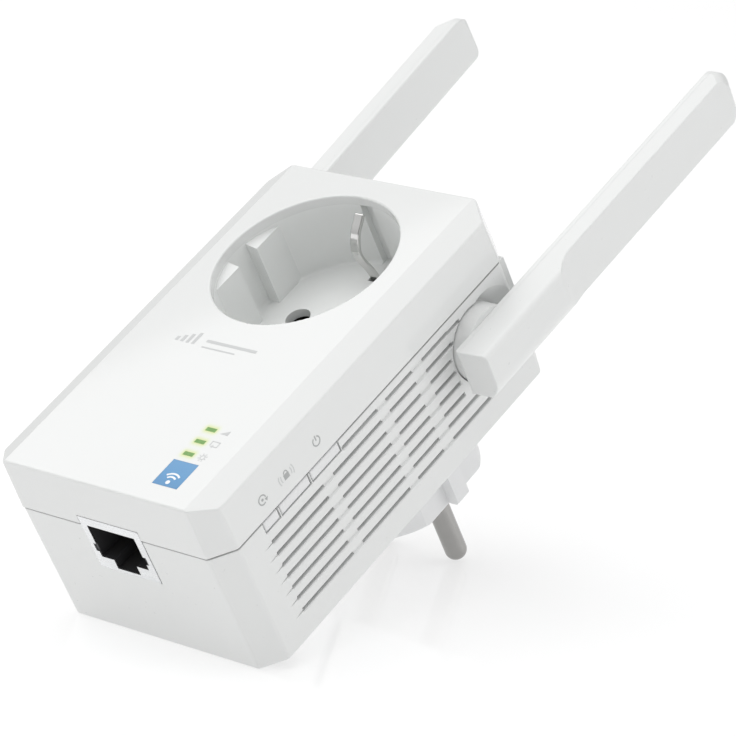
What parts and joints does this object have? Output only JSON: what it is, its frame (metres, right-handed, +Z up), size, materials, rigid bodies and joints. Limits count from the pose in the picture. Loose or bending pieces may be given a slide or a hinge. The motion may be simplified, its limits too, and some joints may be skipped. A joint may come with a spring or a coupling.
{
  "type": "wireless range extender with pass-through mains socket",
  "caption": "Wall-plug wireless range extender with a bevelled white case, round earthed mains socket in front, pin plug behind, side vents and buttons, network jack and hinged paddle antennas.",
  "frame": {"origin": "on the contact face of the plug, midway between its two pins", "axes": "+Y along the pins into the wall, -Y is the front with the pass-through socket, +Z up (antennas up), +X the side with the push buttons"},
  "size_m": [0.0808, 0.0786, 0.1648],
  "materials": {
    "case_white": "satin",
    "insert_white": "matte",
    "plug_white": "satin",
    "antenna_white": "satin",
    "button_white": "satin",
    "bright_metal": "polished",
    "pin_metal": "polished",
    "contact_brass": "satin",
    "contact_gold": "polished",
    "board_green": "satin",
    "ferrite": "matte",
    "winding_tape": "satin",
    "capacitor_sleeve": "gloss",
    "film_capacitor": "satin",
    "fuse_body": "satin",
    "chip_black": "matte",
    "switch_black": "satin",
    "shield_steel": "satin",
    "jack_black": "satin",
    "led_green": "gloss",
    "label_blue": "gloss",
    "screw_steel": "satin",
    "lead_insulation": "satin"
  },
  "bodies": {
    "case": {"board_lead_left": "lead_insulation", "board_lead_right": "lead_insulation", "board_screws": "screw_steel", "board_to_board_header": "jack_black", "bus_bar_left": "contact_brass", "bus_bar_right": "contact_brass", "case_screws": "screw_steel", "contact_sleeve_left": "contact_brass", "contact_sleeve_right": "contact_brass", "earth_clip_lower": "bright_metal", "earth_clip_upper": "bright_metal", "earth_strap": "contact_brass", "front_cover": "case_white", "fuse": "fuse_body", "inductor": "ferrite", "jack_contacts": "contact_gold", "jack_insert": "jack_black", "jack_shell": "shield_steel", "light_pipe": "led_green", "main_board": "board_green", "mains_capacitors": "capacitor_sleeve", "mains_leads": "lead_insulation", "memory_chips": "chip_black", "output_capacitor": "capacitor_sleeve", "pair_switch": "switch_black", "plug_body": "plug_white", "plug_earth_contact_lower": "bright_metal", "plug_earth_contact_upper": "bright_metal", "plug_pin_left": "pin_metal", "plug_pin_right": "pin_metal", "power_board": "board_green", "power_switch": "switch_black", "radio_chip": "chip_black", "rear_housing": "case_white", "rectifier_and_driver": "chip_black", "reset_switch": "switch_black", "shield_can": "shield_steel", "socket_insert": "insert_white", "status_label": "label_blue", "status_leds": "led_green", "suppression_capacitor": "film_capacitor", "transformer_core": "ferrite", "transformer_winding": "winding_tape"},
    "right_antenna": {"antenna_right_hinge_keeper": "screw_steel", "antenna_right_inner_shell": "antenna_white", "antenna_right_lead": "lead_insulation", "antenna_right_outer_shell": "antenna_white", "antenna_right_radiator": "board_green"},
    "left_antenna": {"antenna_left_hinge_keeper": "screw_steel", "antenna_left_inner_shell": "antenna_white", "antenna_left_lead": "lead_insulation", "antenna_left_outer_shell": "antenna_white", "antenna_left_radiator": "board_green"},
    "reset_key": {"reset_button": "button_white"},
    "pair_key": {"pair_button": "button_white"},
    "power_key": {"power_button": "button_white"}
  },
  "joints": [
    {"name": "right_antenna_hinge", "type": "hinge", "parent": "case", "child": "right_antenna", "pos_m": [0.0331, -0.0368, 0.0102], "axis": [1, 0, 0], "range_deg": [-15, 180]},
    {"name": "left_antenna_hinge", "type": "hinge", "parent": "case", "child": "left_antenna", "pos_m": [-0.0331, -0.0368, 0.0102], "axis": [1, 0, 0], "range_deg": [-18.2, 176.8]},
    {"name": "reset_press", "type": "slide", "parent": "case", "child": "reset_key", "axis": [-1, 0, 0], "range_m": [0, 0.0004], "stiffness_N_per_m": 600, "springref_m": -0.0005},
    {"name": "pair_press", "type": "slide", "parent": "case", "child": "pair_key", "axis": [-1, 0, 0], "range_m": [0, 0.0004], "stiffness_N_per_m": 600, "springref_m": -0.0005},
    {"name": "power_press", "type": "slide", "parent": "case", "child": "power_key", "axis": [-1, 0, 0], "range_m": [0, 0.0012], "stiffness_N_per_m": 400, "springref_m": -0.0008}
  ]
}
